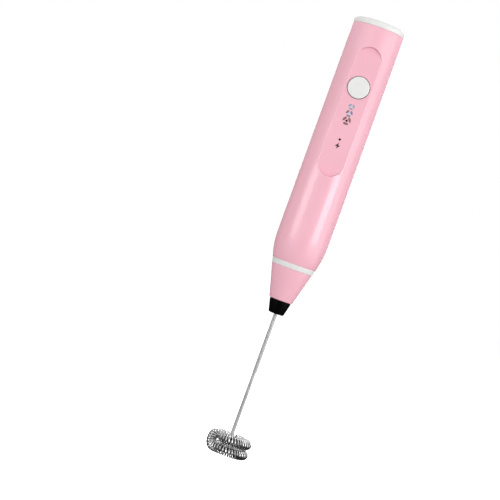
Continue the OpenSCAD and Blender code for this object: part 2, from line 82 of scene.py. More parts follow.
# %% [markdown]
# ## Surfaces from arrays
#
# Every new piece is a grid of points: rows run along the piece and columns run round it. A grid that is closed
# both ways is already a solid with no open edge. Corners are rounded in the outline itself, so that each edge
# catches a thin line of light, which is what makes a moulding look moulded.

# %% Grids, outlines and solids
def grid_faces(rows, columns, close_rows=False, close_columns=True):
    """Quads of a grid stored row by row. Point (i, j) joins (i, j + 1), (i + 1, j + 1) and (i + 1, j); a closed
    direction goes round to its first row or column again."""
    i = np.arange(rows if close_rows else rows - 1)[:, None]
    j = np.arange(columns if close_columns else columns - 1)[None, :]
    below, right = (i + 1) % rows, (j + 1) % columns
    quads = np.stack([i * columns + j, i * columns + right, below * columns + right, below * columns + j], -1)
    return quads.reshape(-1, 4)


def rounded(corners, radii, steps=7):
    """A closed outline with its corners rounded. The arc at a corner touches both sides. Its centre lies on the
    bisector, at the radius divided by the sine of half the corner's angle, and its points are spread evenly
    between the two directions in which it touches the sides."""
    p = np.asarray(corners, float)
    r = np.broadcast_to(np.asarray(radii, float), len(p))[:, None]
    a = np.roll(p, 1, 0) - p
    b = np.roll(p, -1, 0) - p
    a /= np.linalg.norm(a, axis=1, keepdims=True)
    b /= np.linalg.norm(b, axis=1, keepdims=True)
    half = np.arccos(np.clip((a * b).sum(1, keepdims=True), -1, 1)) / 2
    centre = p + (a + b) / np.maximum(np.linalg.norm(a + b, axis=1, keepdims=True), 1e-9) * r / np.sin(half)
    start = p + a * r / np.tan(half) - centre
    end = p + b * r / np.tan(half) - centre
    turn = np.maximum(np.pi - 2 * half, 1e-6)[:, None]
    t = np.linspace(0, 1, steps)[None, :, None]
    arc = (np.sin((1 - t) * turn) * start[:, None] + np.sin(t * turn) * end[:, None]) / np.sin(turn)
    return (centre[:, None] + arc).reshape(-1, 2)


def oblong(half_width, z_low, z_high, steps=24):
    """An outline with two straight sides and two half circles, as (x, z) points, anticlockwise."""
    a = np.linspace(0, np.pi, steps)
    top = np.stack([half_width * np.cos(a), z_high + half_width * np.sin(a)], 1)
    bottom = np.stack([-half_width * np.cos(a), z_low - half_width * np.sin(a)], 1)
    return np.concatenate([top, bottom])


def circle(radius, x, z, steps=64):
    """A circle as (x, z) points."""
    a = np.arange(steps) * 2 * np.pi / steps
    return np.stack([x + radius * np.cos(a), z + radius * np.sin(a)], 1)


def turned(profile, columns=128, closed=True):
    """A solid of revolution about Z: each (radius, height) of a profile becomes a ring of points. The profile
    is closed, or it starts and ends on the axis."""
    a = np.arange(columns) * 2 * np.pi / columns
    r, z = np.asarray(profile, float).T
    points = np.stack([r[:, None] * np.sin(a), -r[:, None] * np.cos(a), z[:, None] + 0 * a], -1).reshape(-1, 3)
    return points, grid_faces(len(r), columns, close_rows=closed)


def swept(path, side, radius, columns=12):
    """A tube along a path: round each point lies a circle, spanned by the given side direction, made square to
    the path, and the direction square to both."""
    along = np.gradient(path, axis=0)
    along /= np.linalg.norm(along, axis=1, keepdims=True)
    side = side - (side * along).sum(1, keepdims=True) * along
    side /= np.linalg.norm(side, axis=1, keepdims=True)
    third = np.cross(along, side)
    a = (np.arange(columns) * 2 * np.pi / columns)[None, :, None]
    ring = np.cos(a) * side[:, None] + np.sin(a) * third[:, None]
    radius = np.broadcast_to(radius, len(path))[:, None, None]
    return (path[:, None] + radius * ring).reshape(-1, 3), grid_faces(len(path), columns)


# %% Put arrays into a mesh
SHARP = math.radians(32)
WELD = 2e-6  # metres within which two points become one
NEAR = 0.01  # millimetres within which a point counts as lying in a flat


def piece(name, parts, body, material, stands_for=(), fills=(), outside=None):
    """One finished piece. The parts are (points, faces) pairs in millimetres, welded where they meet. Each flat
    in fills, an (axis, value) pair, closes the open loops that lie at that value, with triangles. The array
    outside gives each point a number that a material can read."""
    counts = np.cumsum([0] + [len(points) for points, _ in parts])
    points = np.concatenate([p for p, _ in parts]) / 1000
    faces = [f for start, (_, quads) in zip(counts, parts) for f in (np.asarray(quads) + start).tolist()]
    mesh = bpy.data.meshes.new(name)
    mesh.from_pydata(points.tolist(), [], faces)
    if outside is not None:
        mesh.attributes.new("outside", "FLOAT", "POINT").data.foreach_set("value", outside)
    bm = bmesh.new()
    bm.from_mesh(mesh)
    bmesh.ops.remove_doubles(bm, verts=bm.verts, dist=WELD)
    for axis, value in fills:
        in_flat = {v for v in bm.verts if abs(v.co[axis] * 1000 - value) < NEAR}
        loops = [e for e in bm.edges if e.is_boundary and in_flat.issuperset(e.verts)]
        bmesh.ops.triangle_fill(bm, edges=loops, use_beauty=True)
    bmesh.ops.recalc_face_normals(bm, faces=bm.faces)
    open_edges = sum(not e.is_manifold for e in bm.edges)
    bm.to_mesh(mesh)
    bm.free()
    mesh.shade_smooth()
    mesh.set_sharp_from_angle(angle=SHARP)
    made = bpy.data.objects.new(name, mesh)
    bpy.context.scene.collection.objects.link(made)
    made.data.materials.append(material)
    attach(made, body)
    if stands_for:
        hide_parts(*stands_for)
    print(f"{name}: {len(mesh.polygons)} faces, {open_edges} open or doubled edges")
    return made


# %% [markdown]
# ## A short way to write shader maths
#
# A node tree is easier to read as an expression. `Value` wraps a socket, and each operator on it adds one Math
# node. `Finish.add` makes any other node. Only colour, roughness, metal and the surface's normal vary over a
# surface. Everything else is set once, on the shader's own socket.

# %% Sockets that can be added and multiplied
class Value:
    """A node's output, which can stand in a sum or product."""

    def __init__(self, finish, socket):
        self.finish, self.socket = finish, socket

    def _maths(self, operation, a, b):
        return self.finish.add("ShaderNodeMath", {"operation": operation}, {0: a, 1: b})

    def __add__(self, other):
        return self._maths("ADD", self, other)

    def __sub__(self, other):
        return self._maths("SUBTRACT", self, other)

    def __rsub__(self, other):
        return self._maths("SUBTRACT", other, self)

    def __mul__(self, other):
        return self._maths("MULTIPLY", self, other)

    __radd__ = __add__
    __rmul__ = __mul__


class Finish:
    """A procedural material: a Principled shader and the nodes that feed it."""

    def __init__(self, name, **constants):
        self.material = bpy.data.materials.new(name)
        self.material.use_nodes = True
        self.tree = self.material.node_tree
        self.shader = self.tree.nodes["Principled BSDF"]
        for socket, value in constants.items():
            self.shader.inputs[socket.replace("_", " ")].default_value = value
        self.place = self.add("ShaderNodeTexCoord", {}, {}, "Object")

    def add(self, kind, settings, inputs, output=0):
        """Makes a node, sets its settings, then gives its inputs values or links, and returns one output."""
        node = self.tree.nodes.new(kind)
        for key, value in settings.items():
            if key == "stops":
                for index, (position, colour) in enumerate(value):
                    ramp = node.color_ramp.elements
                    stop = ramp[index] if index < 2 else ramp.new(position)
                    stop.position, stop.color = position, (*colour, 1)
            else:
                setattr(node, key, value)
        for key, value in inputs.items():
            if isinstance(value, Value):
                self.tree.links.new(value.socket, node.inputs[key])
            else:
                node.inputs[key].default_value = value
        return Value(self, node.outputs[output])

    def stretch(self, scale):
        """Object coordinates, multiplied along each axis."""
        return self.add("ShaderNodeMapping", {}, {"Vector": self.place, "Scale": scale})

    def noise(self, scale, detail=3.0, roughness=0.5, place=None):
        """Soft random values round 0.5."""
        inputs = {"Vector": place or self.place, "Scale": scale, "Detail": detail, "Roughness": roughness}
        return self.add("ShaderNodeTexNoise", {}, inputs, "Fac")

    def smooth(self, value, low, high):
        """0 below low and 1 above high, with a smooth step between."""
        settings = {"interpolation_type": "SMOOTHSTEP"}
        return self.add("ShaderNodeMapRange", settings, {"Value": value, "From Min": low, "From Max": high})

    def mix(self, amount, a, b):
        """Colour a where amount is 0 and colour b where it is 1."""
        a, b = [c if isinstance(c, Value) else (*c, 1) for c in (a, b)]
        return self.add("ShaderNodeMix", {"data_type": "RGBA"}, {0: amount, 6: a, 7: b}, 2)

    def bump(self, height, strength, distance):
        """Feeds the shader's normal from a height."""
        inputs = {"Height": height, "Strength": strength, "Distance": distance}
        self.feed("Normal", self.add("ShaderNodeBump", {}, inputs, "Normal"))

    def feed(self, socket, value):
        """Links a value to one of the shader's inputs."""
        self.tree.links.new(value.socket, self.shader.inputs[socket])


def srgb(code):
    """Linear colour from a six-figure hex code: each part is raised to 2.4 after the usual offset."""
    c = np.array([int(code[i:i + 2], 16) / 255 for i in (0, 2, 4)])
    return tuple(np.where(c <= 0.04045, c / 12.92, ((c + 0.055) / 1.055) ** 2.4))


# %% [markdown]
# ## Finishes that show
#
# The handle is a satin-gloss moulding. Real mouldings are never one flat colour: the pigment drifts a little,
# the tool leaves a faint grain, and handling leaves patches that are duller than the rest. The steel is drawn
# wire, with fine lines along it. The coil's wire is brighter than the rod's where it faces outwards, and has
# painted shade: its colour is painted dark where it faces into the coil. That painted shade is what lets the
# single turns be told apart. The ring wire also has painted shade inside the coil.

# %% Moulded plastics
def moulded(name, colour, deeper, roughness, grain=0.02, coat=0.2, specular=0.5):
    """Plastic: the colour drifts by about a hundredth, roughness varies in soft patches, and a fine grain
    breaks up the reflections."""
    f = Finish(name, Coat_Weight=coat, Coat_Roughness=0.1, IOR=1.49, Specular_IOR_Level=specular)
    drift = f.smooth(f.noise(38, 3), 0.2, 0.8)
    f.feed("Base Color", f.mix(drift, deeper, colour))
    patches = f.smooth(f.noise(70, 3), 0.3, 0.7)
    rubbed = f.smooth(f.noise(1, 2, 0.5, f.stretch((900, 900, 60))), 0.55, 0.8)
    f.feed("Roughness", roughness + patches * 0.02 + rubbed * 0.015)
    f.bump(f.noise(2600, 2), grain, 0.0001)
    return f.material


pink = moulded("pink_moulding", srgb("f1b7c6"), srgb("efb4c3"), 0.23)
white = moulded("white_moulding", srgb("e6e6e5"), srgb("e2e3e2"), 0.26)
black = moulded("black_moulding", srgb("060606"), srgb("040404"), 0.3, 0.02, 0.0, 0.1)
print("three mouldings")


# %% Steel wire
def drawn_steel(name, light, dark, roughness, along, painted_shade_mask):
    """Drawn wire: fine lines that are long in one direction and short across it, in colour, roughness and
    height, with a slow change of tone over them, and painted shade: the colour goes to dark grey where
    painted_shade_mask says."""
    f = Finish(name, Metallic=1.0)
    lines = f.noise(1, 3, 0.6, f.stretch(along))
    slow = f.noise(220, 2)
    bare = f.mix(f.smooth(lines * 0.7 + slow * 0.3, 0.35, 0.65), dark, light)
    # painted shade: dark grey mixed into the colour where painted_shade_mask says
    f.feed("Base Color", f.mix(painted_shade_mask(f), bare, srgb("3c3c3e")))
    f.feed("Roughness", roughness + lines * 0.12)
    f.bump(lines, 0.12, 0.00005)
    return f.material


def painted_shade_inside(f):
    """Painted shade: the coil's wire has its colour painted dark on the side that faces into the coil, where
    the coil shades itself."""
    outside = f.add("ShaderNodeAttribute", {"attribute_name": "outside"}, {}, "Fac")
    return f.smooth(outside, 0.75, 0.25)


def painted_shade_under_coil(f):
    """Painted shade: the ring wire's colour is darkened inside the coil, where the coil shades it, from 5 to 8
    mm away from the axis, so it is darker there than the rod is.
    """
    level = f.add("ShaderNodeVectorMath", {"operation": "MULTIPLY"}, {0: f.place, 1: (1, 1, 0)})
    away = f.add("ShaderNodeVectorMath", {"operation": "LENGTH"}, {0: level}, "Value")
    return f.smooth(away, 0.005, 0.008) * 0.75


rod_steel = drawn_steel("rod_steel", srgb("c8c8c8"), srgb("b0b0b1"), 0.38, (9000, 9000, 160), painted_shade_under_coil)
even_grain = (2600, 2600, 2600)
coil_steel = drawn_steel("coil_steel", srgb("f4f4f4"), srgb("dcdcde"), 0.16, even_grain, painted_shade_inside)
print("two steels")

# %% [markdown]
# ## The pink shell
#
# The barrel is a cylinder that curves into a cone. The oblong panel on its front is flat, and its rim is what
# the eye follows, so the mesh has to run along the rim and not across it. The barrel's grid leaves a window
# round the panel. From each point on the window's edge a line of points runs straight to the panel's middle
# line, and its height goes smoothly from the barrel down to the flat. The flat itself is filled with triangles
# round the holes for the button and the lights.

# %% The shell's driving sizes
barrel_r = (shell_high[0] - shell_low[0]) / 2
wall = 1.8
shoulder_r = 46.0
shoulder_angle = math.radians(15)
shoulder_z = -62.0
panel_y = 13.1
panel_half = 7.0  # from the end of the panel's middle line to the panel's own end
panel_low, panel_high = -24.6, 50.2
rim_inner = 6.62
side_rim, end_rim = 1.6, 0.25
button = middle("button_cap")
button_r = 6.1
button_hole_r = 6.45
light_nodes = ["speed_light_1", "speed_light_2", "speed_light_3", "charge_light"]
light_z = [middle(n)[2] for n in light_nodes]
spine_low, spine_high = panel_low + panel_half, panel_high - panel_half
print("panel", round(panel_high - panel_low, 1), "mm long; button at", round(button[2], 2))

# %% Rows and columns of the barrel
patch_steps = 16
window_half, window_margin = 9.4, 2.6  # the window's half width, and how far it goes past the panel's ends
patch_turn = math.asin(window_half / barrel_r)
front = np.linspace(-patch_turn, patch_turn, 2 * patch_steps + 1)
turns = np.concatenate([front, np.linspace(patch_turn, 2 * np.pi - patch_turn, 97)[1:-1]])
patch_z = np.concatenate([
    np.linspace(panel_low - window_margin, spine_low, 17),
    np.linspace(spine_low, spine_high, 20)[1:-1],
    np.linspace(spine_high, panel_high + window_margin, 17),
])
a = np.linspace(shoulder_angle, 0, 22)
shoulder = np.stack([barrel_r - shoulder_r * (1 - np.cos(a)), shoulder_z - shoulder_r * np.sin(a)], 1)
foot_r = shoulder[0, 0] - (shoulder[0, 1] - shell_low[2]) * math.tan(shoulder_angle)
foot_z, lip_z = shell_low[2], shell_high[2]
foot = np.array([[foot_r - 0.3, foot_z], [foot_r - 0.12, foot_z + 0.04], [foot_r, foot_z + 0.25]])
lip = np.array([[barrel_r, lip_z - 0.25], [barrel_r - 0.05, lip_z - 0.08], [barrel_r - 0.25, lip_z]])
outside = np.concatenate([
    foot, shoulder, [[barrel_r, -45.0]], np.stack([np.full(len(patch_z), barrel_r), patch_z], 1), lip,
])
first_patch_row = len(foot) + len(shoulder) + 1
last_patch_row = first_patch_row + len(patch_z) - 1
bore_r = barrel_r - wall
flat_steps = 12
flat_turn = front[patch_steps + flat_steps]
flat_y = bore_r * math.cos(flat_turn)
inside = np.array([
    [bore_r, shell_high[2]], [bore_r, 56.5], [bore_r, 56.5], [bore_r, -32.0], [bore_r, -32.0],
    [bore_r, shoulder_z], [bore_r - 0.25, shoulder_z - 4.8], [10.5, shell_low[2] + 5.5], [10.5, shell_low[2]],
])
flat_rows = (len(outside) + 2, len(outside) + 3)
print("rows", len(outside) + len(inside), "columns", len(turns), "inner flat at", round(flat_y, 2))


# %% The barrel's grid, with a window for the panel
def barrel_grid():
    """Radius times the sine and cosine of the angle gives x and -y. On two inner rows the radius is cut down
    to the flat's distance divided by the cosine. Quads inside the panel's window and the inner flat are left
    out."""
    profile = np.concatenate([outside, inside])
    r = np.repeat(profile[:, :1], len(turns), 1)
    for row in flat_rows:
        at_flat = np.abs(np.arange(len(turns)) - patch_steps) <= flat_steps
        r[row, at_flat] = flat_y / np.cos(turns[at_flat])
    points = np.stack([r * np.sin(turns), -r * np.cos(turns), np.repeat(profile[:, 1:], len(turns), 1)], -1)
    quads = grid_faces(len(profile), len(turns), close_rows=True)
    row, column = np.divmod(quads[:, 0], len(turns))
    window = (row >= first_patch_row) & (row < last_patch_row) & (column < 2 * patch_steps)
    inner = (row == flat_rows[0]) & (np.abs(column + 0.5 - patch_steps) < flat_steps)
    return points.reshape(-1, 3), quads[~window & ~inner]


def window_loop():
    """The window's edge as (x, z) points, once round, at the grid's own columns and rows."""
    x = barrel_r * np.sin(front)
    z = patch_z
    low = np.stack([x[:-1], np.full(len(x) - 1, z[0])], 1)
    right = np.stack([np.full(len(z) - 1, x[-1]), z[:-1]], 1)
    high = np.stack([x[:0:-1], np.full(len(x) - 1, z[-1])], 1)
    left = np.stack([np.full(len(z) - 1, x[0]), z[:0:-1]], 1)
    return np.concatenate([low, right, high, left])


def panel_rim():
    """Lines of points from the window's edge towards the panel's middle line. The height goes from the flat
    to the barrel by the smooth step 3s^2 - 2s^3 of s, the share of the rim's width that has been crossed.
    Along the sides, where the flat runs into the barrel, the rim is wide and soft. Round the two ends it is a
    steep wall."""
    edge = window_loop()
    spine = np.stack([np.zeros(len(edge)), np.clip(edge[:, 1], spine_low, spine_high)], 1)
    reach = np.linalg.norm(edge - spine, axis=1, keepdims=True)
    away = (edge - spine) / reach
    steep = np.clip(np.abs(away[:, 1]) / 0.6, 0, 1)
    steep = steep**2 * (3 - 2 * steep)
    inner = rim_inner + 0.25 * steep
    outer = inner + side_rim + (end_rim - side_rim) * steep
    across = np.linspace(0, 1, 15)[:, None]
    far = np.array([0.3, 0.65, 1.0])[:, None]
    distance = np.concatenate([
        np.full((1, len(edge)), rim_inner - 0.04),
        inner + (outer - inner) * across,
        outer + (reach.T - outer) * far,
    ])
    flat = spine[None] + away[None] * distance[:, :, None]
    s = np.clip((distance - inner) / (outer - inner), 0, 1)
    surface = np.sqrt(barrel_r**2 - flat[:, :, 0] ** 2)
    depth = panel_y + (surface - panel_y) * (3 * s**2 - 2 * s**3)
    points = np.stack([flat[:, :, 0], -depth, flat[:, :, 1]], -1)
    return points.reshape(-1, 3), grid_faces(len(distance), len(edge))


def hole_wall(radius, z, edge, steps=64):
    """A hole's wall from the panel to the inner flat, with a rounded edge and a narrow flat ring round it."""
    a = np.linspace(np.pi / 2, 0, 5)
    profile = np.concatenate([
        [[radius + edge * 2, panel_y]],
        np.stack([radius + edge * (1 - np.cos(a)), panel_y - edge * (1 - np.sin(a))], 1),
        [[radius, flat_y]],
    ])
    loop = circle(1.0, 0.0, 0.0, steps)
    points = np.stack([
        profile[:, :1] * loop[:, 0], -np.repeat(profile[:, 1:], steps, 1), z + profile[:, :1] * loop[:, 1],
    ], -1)
    return points.reshape(-1, 3), grid_faces(len(profile), steps)


shell_parts = [barrel_grid(), panel_rim(), hole_wall(button_hole_r, button[2], 0.05)]
shell_parts += [hole_wall(0.65, z, 0.06, 24) for z in light_z]
piece("handle_shell_moulding", shell_parts, "handle", pink, ["handle_shell"],
      fills=[(1, -panel_y), (1, -flat_y)])

# %% [markdown]
# ## Cap, ring, nose, button and collar
#
# These are turned shapes, so each one is an outline with rounded corners, spun about its axis. The cap also
# has the charging inlet cut through it. The seams between the pieces are fine grooves, because each edge is
# rounded on both sides of the joint.

# %% End cap with the inlet
def slot_wall(z_high, z_low, half_x, half_y, y, edge):
    """The inlet's wall: an oblong outline at the plate's top and bottom, with a rounded upper edge."""
    a = np.linspace(np.pi / 2, 0, 5)
    grow = np.concatenate([[2 * edge], edge * (1 - np.cos(a)), [0.0]])
    z = np.concatenate([[z_high], z_high - edge * (1 - np.sin(a)), [z_low]])
    rows = [oblong(half_y + g, -(half_x - half_y), half_x - half_y, 12) for g in grow]
    points = np.stack([np.stack([r[:, 1], r[:, 0] + y, np.full(len(r), h)], 1) for r, h in zip(rows, z)])
    return points.reshape(-1, 3), grid_faces(len(rows), points.shape[1])


cap_top, cap_foot, joint_z = cap_high[2], cap_low[2], shell_high[2]
plate_z = cap_top - 2.2
cap_corners = [
    (9.0, cap_top), (barrel_r, cap_top), (barrel_r, joint_z), (13.1, joint_z), (13.1, cap_foot),
    (11.5, cap_foot), (11.5, plate_z), (9.0, plate_z),
]
cap_profile = rounded(cap_corners, [0, 2.0, 0.25, 0, 0.3, 0.3, 0.3, 0], 10)
inlet_y = middle("charge_socket")[1]
cap_points, cap_faces = turned(cap_profile)
cap_faces = cap_faces[cap_faces[:, 0] < (len(cap_profile) - 1) * 128]
inlet_wall = slot_wall(cap_top, plate_z, 4.67, 1.83, inlet_y, 0.2)
piece("end_cap_moulding", [(cap_points, cap_faces), inlet_wall], "handle", white, ["end_cap"],
      fills=[(2, cap_top), (2, plate_z)])

# %% Trim ring and nose cone
ring_corners = [
    (10.5, ring_low[2]), (nose_high[0], ring_low[2]), (ring_high[0], ring_high[2]), (10.5, ring_high[2]),
]
piece("trim_ring_moulding", [turned(rounded(ring_corners, [0.1, 0.3, 0.3, 0.1]))], "handle", white,
      ["trim_ring"])
tip_r = 6.75
tip = nose_low[2]
shelf = ring_low[2]
nose_corners = [
    (4.7, tip), (tip_r, tip), (nose_high[0], shelf), (10.4, shelf), (10.4, nose_high[2]), (8.9, nose_high[2]),
    (8.9, shelf - 0.4), (6.6, tip + 7.6), (6.2, tip + 7.6), (6.2, shelf + 0.9), (2.9, shelf + 0.9),
    (2.9, shelf - 0.8), (4.7, shelf - 0.8),
]
nose_radii = [0.35, 0.55, 0.3, 0.1, 0.3, 0.3, 0.3, 0.1, 0.1, 0.1, 0.1, 0.1, 0.1]
piece("nose_cone_moulding", [turned(rounded(nose_corners, nose_radii))], "handle", pink,
      ["nose_cone"])


# %% Push button
def button_solid():
    """A turned cap whose face is a very shallow dome, laid over so that its axis runs along -Y."""
    low, high = span("button_cap")
    face, flange = -low[1], 11.1
    dome_height, edge_r = 0.12, 0.6
    across = np.linspace(0, button_r - 0.7, 8)
    crown = np.stack([across, face - dome_height + dome_height * (1 - (across / button_r) ** 2)], 1)
    a = np.linspace(np.pi / 2, 0, 8)
    edge_z = face - dome_height - edge_r + edge_r * np.sin(a)
    edge = np.stack([button_r - edge_r + edge_r * np.cos(a), edge_z], 1)
    back = -high[1]
    rest = [(button_r, flange), (6.6, flange), (6.6, back), (2.35, back), (2.35, back + 0.2), (0, back + 0.2)]
    points, faces = turned(np.concatenate([crown, edge, rest]), 96, closed=False)
    return np.stack([points[:, 0], -points[:, 2], points[:, 1] + button[2]], 1), faces


piece("push_button_moulding", [button_solid()], "button", white, ["button_cap"])

# %% Collar and stem of the whisk
top, low = collar_high[2], collar_low[2]
head = nose_low[2] - 0.2
collar_corners = [
    (1.0, low), (4.35, low), (6.3, head), (4.4, head), (4.4, top), (2.08, top), (2.08, -97.1), (1.0, -97.1),
]
collar_radii = [0, 1.0, 0.35, 0.2, 0.5, 0.2, 0, 0]
piece("whisk_collar_moulding", [turned(rounded(collar_corners, collar_radii, 9), 96)], "whisk", black,
      ["whisk_collar"])

# %% [markdown]
# ## The whisk
#
# One stainless wire makes the rod, a short spoke and two rings, one above the other. A thinner wire is wound
# round the rings as a long spring. Both are swept along curves, and every turn is worked out by formula.

# %% The rod, spoke and rings
ring_r, ring_drop = 9.85, 6.0
rod_r, coil_wire_r, coil_d = 1.0, 0.325, 5.6
reach_z = span("whisk_wire")[0][2] + ring_drop + rod_r
spoke_turn = math.radians(205)
ramp_low, ramp_high = math.radians(300), math.radians(372)
coil_first, coil_last = math.radians(29), math.radians(652)
coil_step = math.radians(8.4)
wire_end = math.radians(660)
elbow_r, heel_r = 2.5, 3.0


def step_up(s):
    """The smooth step 3s^2 - 2s^3, with s kept between 0 and 1."""
    s = np.clip(s, 0, 1)
    return s * s * (3 - 2 * s)


def outward(a):
    """The level direction from the axis at an angle along the wire, counted from the spoke."""
    return np.stack([np.cos(spoke_turn + a), np.sin(spoke_turn + a), 0 * a], -1)


def on_ring(a):
    """A point of the ring wire: on a circle, at the upper level first and, after a smooth drop, at the
    lower."""
    level = reach_z - ring_drop * step_up((a - ramp_low) / (ramp_high - ramp_low))
    return ring_r * outward(a) + np.stack([0 * a, 0 * a, level], -1)


def ring_wire():
    """Straight down the axis, round the elbow in a quarter circle, out along the spoke, round the heel, which
    touches the spoke's line and the ring, and on round the rings. The side direction is level throughout."""
    spoke, aside, up = outward(np.array(0.0)), outward(np.array(np.pi / 2)), np.array([0.0, 0.0, 1.0])
    run = math.sqrt((ring_r - heel_r) ** 2 - heel_r**2)
    heel_turn = math.atan2(heel_r, run)
    rod_z = np.linspace(collar_low[2] + 8.5, reach_z + elbow_r, 40)[:, None]
    bend = np.radians(np.arange(6, 91, 6))[:, None]
    elbow = spoke * elbow_r * (1 - np.cos(bend)) + up * (reach_z + elbow_r * (1 - np.sin(bend)))
    heel = np.linspace(0, np.pi / 2 + heel_turn, 20)[:, None]
    centre = run * spoke + heel_r * aside + reach_z * up
    heel_points = centre + heel_r * (np.sin(heel) * spoke - np.cos(heel) * aside)
    rings = on_ring(np.arange(heel_turn + 0.05, wire_end, 0.05))
    path = np.concatenate([rod_z * up, elbow, heel_points, rings])
    along = np.gradient(path, axis=0)
    level = np.cross(up, along)
    side = np.where(np.arange(len(path))[:, None] < len(rod_z) + len(elbow), aside, level)
    return path, side


wire_path, wire_side = ring_wire()
thickness = np.full(len(wire_path), rod_r)
thickness[[0, -1]] = 0
thickness[[1, -2]] = rod_r * 0.85
piece("whisk_rod_wire", [swept(wire_path, wire_side, thickness, 20)], "whisk", rod_steel,
      ["whisk_wire"])


# %% The coil
COIL_SIDES = 8  # sides of the coil's wire


def coil():
    """A helix round the ring wire. Its radius is small at both ends, where the turns close on the wire."""
    a = np.arange(coil_first, coil_last, coil_step / 22)
    along = on_ring(a + 0.01) - on_ring(a - 0.01)
    along /= np.linalg.norm(along, axis=1, keepdims=True)
    out = outward(a)
    out = out - (out * along).sum(1, keepdims=True) * along
    out /= np.linalg.norm(out, axis=1, keepdims=True)
    turn = 2 * np.pi * (a - coil_first) / coil_step
    away = np.cos(turn)[:, None] * out + np.sin(turn)[:, None] * np.cross(along, out)
    closed = rod_r + coil_wire_r + 0.04
    opening = step_up(np.minimum(a - coil_first, coil_last - a) / (2.5 * coil_step))
    radius = closed + (coil_d / 2 - coil_wire_r - closed) * opening
    thick = np.full(len(a), coil_wire_r)
    thick[[0, -1]] = 0
    return swept(on_ring(a) + radius[:, None] * away, away, thick, COIL_SIDES)


coil_part = coil()
# painted shade: 1 on the coil wire's outward side and 0 on its inward side, read by painted_shade_inside to
# paint the inward side dark
painted_shade_facing = (1 + np.cos(np.arange(COIL_SIDES) * 2 * np.pi / COIL_SIDES)) / 2
piece("whisk_spring_coil", [coil_part], "whisk", coil_steel, ["whisk_coil"],
      outside=np.tile(painted_shade_facing, len(coil_part[0]) // COIL_SIDES))

# %% [markdown]
# ## Printed marks
#
# Three fans show the speeds, small to large, and a bolt shows charging. They are ink, so they are plates only a
# few hundredths of a millimetre thick. The first two fans are lit, so their blades are pale near the light.

# %% Ink and lenses
def ink(name, near, tints, centre_z, reach, glow):
    """Ink with one tint at its left, one at its right and one below, which pales towards a light in its middle
    and may glow a little."""
    f = Finish(name, Roughness=0.45)
    centre = (0, -panel_y / 1000, centre_z / 1000)
    centred = f.add("ShaderNodeVectorMath", {"operation": "SUBTRACT"}, {0: f.place, 1: centre})
    distance = f.add("ShaderNodeVectorMath", {"operation": "LENGTH"}, {0: centred}, "Value")
    far_off = f.smooth(distance, 0, reach / 1000)
    speckle = f.smooth(f.noise(6000, 2), 0.3, 0.7) * 0.12
    side = f.add("ShaderNodeSeparateXYZ", {}, {0: centred}, "X")
    height = f.add("ShaderNodeSeparateXYZ", {}, {0: centred}, "Z")
    left, right, below = tints
    sides = f.mix(f.smooth(side, -0.0004, 0.0004), left, right)
    far = f.mix(f.smooth(height, -0.0009, -0.0003), below, sides)
    colour = f.mix(far_off + speckle, near, far)
    f.feed("Base Color", colour)
    if glow:
        f.feed("Emission Color", colour)
        f.shader.inputs["Emission Strength"].default_value = glow
    return f.material


def lens(name, colour, strength, specular=0.3):
    """A small light guide, brighter in some spots than in others, as a diode's crystal is. An unlit one is
    nearly free of gloss, so that it stays black."""
    f = Finish(name, Roughness=0.3, Specular_IOR_Level=specular)
    spots = f.smooth(f.noise(1800, 2), 0.35, 0.65)
    shade = f.mix(spots, tuple(c * 0.8 for c in colour), colour)
    f.feed("Base Color", shade)
    if strength:
        f.feed("Emission Color", shade)
        f.shader.inputs["Emission Strength"].default_value = strength
    return f.material


lit_lens = lens("lit_lens", srgb("a8d8e6"), 0.12)
dark_lens = lens("dark_lens", srgb("020202"), 0, 0.02)
dark_tints = [srgb("93606e"), srgb("946c6c"), srgb("8a5d6c")]
dark_ink = ink("dark_ink", srgb("7a4f5c"), dark_tints, light_z[2], 2.6, 0)
bolt_ink = ink("bolt_ink", srgb("2c1a20"), [srgb("301d23")] * 3, light_z[3], 6, 0)
lit_inks = [
    ink("lit_ink_1", srgb("9fc6d6"), [srgb("8298a8"), srgb("8b99a9"), srgb("7d93a0")], light_z[0], 1.5, 0.05),
    ink("lit_ink_2", srgb("86b8cc"), [srgb("7a6470"), srgb("7c70a0"), srgb("6f8186")], light_z[1], 1.5, 0.05),
]
print("inks and lenses")


# %% Fans and bolt
INK_LIFT, INK_SINK = 0.03, 0.02  # how far the ink stands above the panel, and how far it reaches into it
BLADE_OUTER, BLADE_INNER = 43, 38  # half of the turn that a blade takes at its rim and at its foot, in degrees
BLADE_FOOT = 0.46  # a blade's inner radius as a share of its outer one


def plate(outline):
    """A thin plate on the panel: an outline in (x, z), a front and a back, and a wall between them."""
    n = len(outline)
    depths = (panel_y + INK_LIFT, panel_y - INK_SINK)
    ends = [np.stack([outline[:, 0], np.full(n, -y), outline[:, 1]], 1) for y in depths]
    return np.concatenate(ends), grid_faces(2, n)


def blade(middle_turn, radius, z):
    """A fan blade: a stretch of a ring between two radii, wider outside than inside."""
    outer = np.radians(middle_turn) + np.radians(np.linspace(-BLADE_OUTER, BLADE_OUTER, 15))
    inner = np.radians(middle_turn) + np.radians(np.linspace(BLADE_INNER, -BLADE_INNER, 9))
    ring = np.concatenate([
        radius * np.stack([np.cos(outer), np.sin(outer)], 1),
        radius * BLADE_FOOT * np.stack([np.cos(inner), np.sin(inner)], 1),
    ])
    return plate(rounded(ring, 0.02, 2) + [0, z])


ink_faces = [(1, -panel_y - INK_LIFT), (1, -panel_y + INK_SINK)]
fan_radii = [1.7, 1.9, 2.35]
for n, (radius, material) in enumerate(zip(fan_radii, [*lit_inks, dark_ink])):
    blades = [blade(turn, radius, light_z[n]) for turn in (30, 150, 270)]
    piece(f"speed_mark_{n + 1}", blades, "handle", material, fills=ink_faces)

